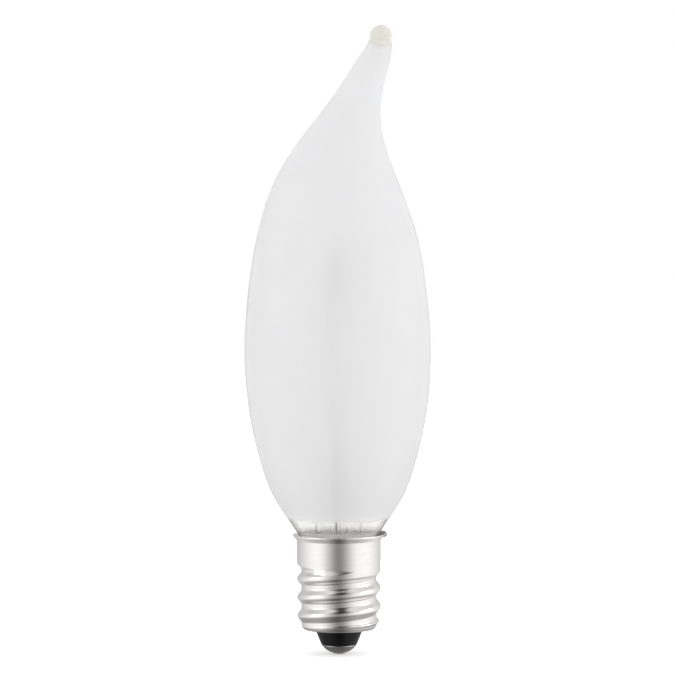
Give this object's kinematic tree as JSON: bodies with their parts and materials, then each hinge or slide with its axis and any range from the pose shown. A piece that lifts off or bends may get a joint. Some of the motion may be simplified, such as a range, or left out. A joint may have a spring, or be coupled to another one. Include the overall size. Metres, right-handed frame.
{
  "type": "candle bulb",
  "caption": "Frosted glass candle bulb with a bent flame tip, a clear neck showing the stem and leads, and a small threaded metal base with a centre contact.",
  "frame": {"origin": "lowest point of the centre contact, on the axis of the screw", "axes": "+Z along the screw's axis from the contact to the glass tip, +X to the side that the tip leans to"},
  "size_m": [0.0256, 0.0256, 0.0866],
  "materials": {
    "frosted_glass": "blown, frosted on the inside, clear at the neck and the tip",
    "stem_glass": "clear drawn tube, pressed flat at the top",
    "copper_wire": "drawn copper wire",
    "seal_wire": "copper-clad wire sealed in glass",
    "nickel_wire": "drawn nickel wire",
    "support_wire": "drawn wire, dull",
    "filament": "coiled bare wire, dull grey",
    "cement": "baked basing cement, matt",
    "plated_shell": "rolled thin sheet, bright plated",
    "black_glass": "pressed black glass, glossy",
    "contact_metal": "stamped and plated",
    "solder": "soft solder, dull"
  },
  "bodies": {
    "root": {"envelope": "frosted_glass", "stem": "stem_glass", "centre_outer_lead": "copper_wire", "side_outer_lead": "copper_wire", "centre_seal_wire": "seal_wire", "side_seal_wire": "seal_wire", "centre_inner_lead": "nickel_wire", "side_inner_lead": "nickel_wire", "support_wire": "support_wire", "filament": "filament", "basing_cement": "cement", "screw_shell": "plated_shell", "insulator": "black_glass", "contact_eyelet": "contact_metal", "contact_solder": "solder", "rim_solder": "solder"}
  },
  "joints": []
}
